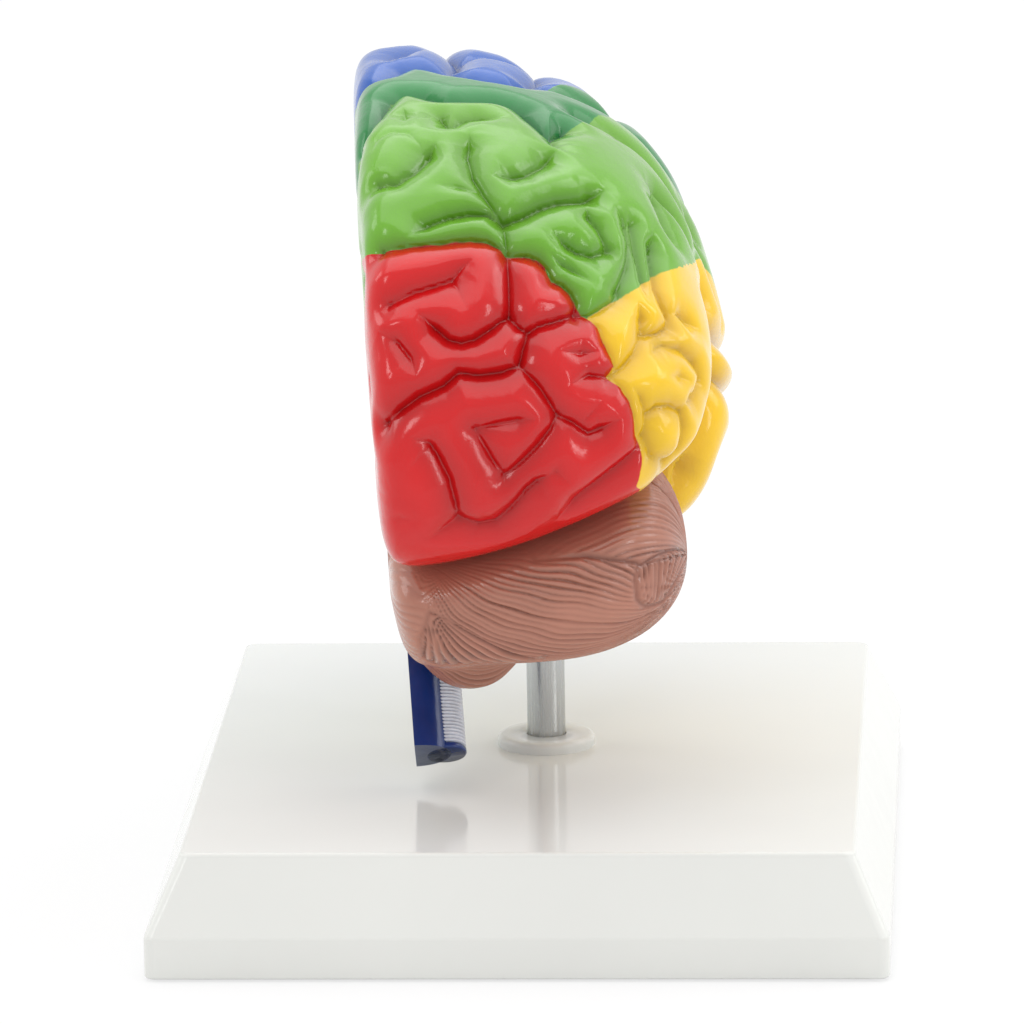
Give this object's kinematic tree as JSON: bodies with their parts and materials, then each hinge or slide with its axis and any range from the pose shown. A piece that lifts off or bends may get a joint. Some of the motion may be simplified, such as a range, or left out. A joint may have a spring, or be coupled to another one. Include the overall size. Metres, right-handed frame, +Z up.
{
  "type": "brain anatomy model",
  "caption": "Life-size right half of a brain, painted in lobe colours, that turns on a metal post above a white tapered stand.",
  "frame": {"origin": "centre of the stand's footprint, on the surface that its feet rest on", "axes": "+Z up along the post; +Y towards the front of the brain, the stand's long way; +X towards the outer side of the half brain"},
  "size_m": [0.1504, 0.1856, 0.1676],
  "materials": {
    "stand_white": "high gloss",
    "post_metal": "satin",
    "screw_metal": "zinc plated",
    "foot_rubber": "matte",
    "bush_plastic": "matte",
    "cerebrum_paint": "glossy lacquer over lobe colours",
    "cerebellum_paint": "glossy lacquer",
    "stem_paint": "glossy lacquer"
  },
  "bodies": {
    "stand": {"stand_base": "stand_white", "post": "post_metal", "post_collar": "stand_white", "post_screw": "screw_metal", "post_washer": "screw_metal", "foot_rear_inner": "foot_rubber", "foot_rear_outer": "foot_rubber", "foot_front_inner": "foot_rubber", "foot_front_outer": "foot_rubber"},
    "hemisphere": {"socket_bush": "bush_plastic", "cerebrum": "cerebrum_paint", "cerebellum": "cerebellum_paint", "brain_stem": "stem_paint"}
  },
  "joints": [
    {"name": "hemisphere_turn", "type": "hinge", "parent": "stand", "child": "hemisphere", "pos_m": [0.002, 0, 0.08], "axis": [0, 0, 1], "continuous": true}
  ]
}
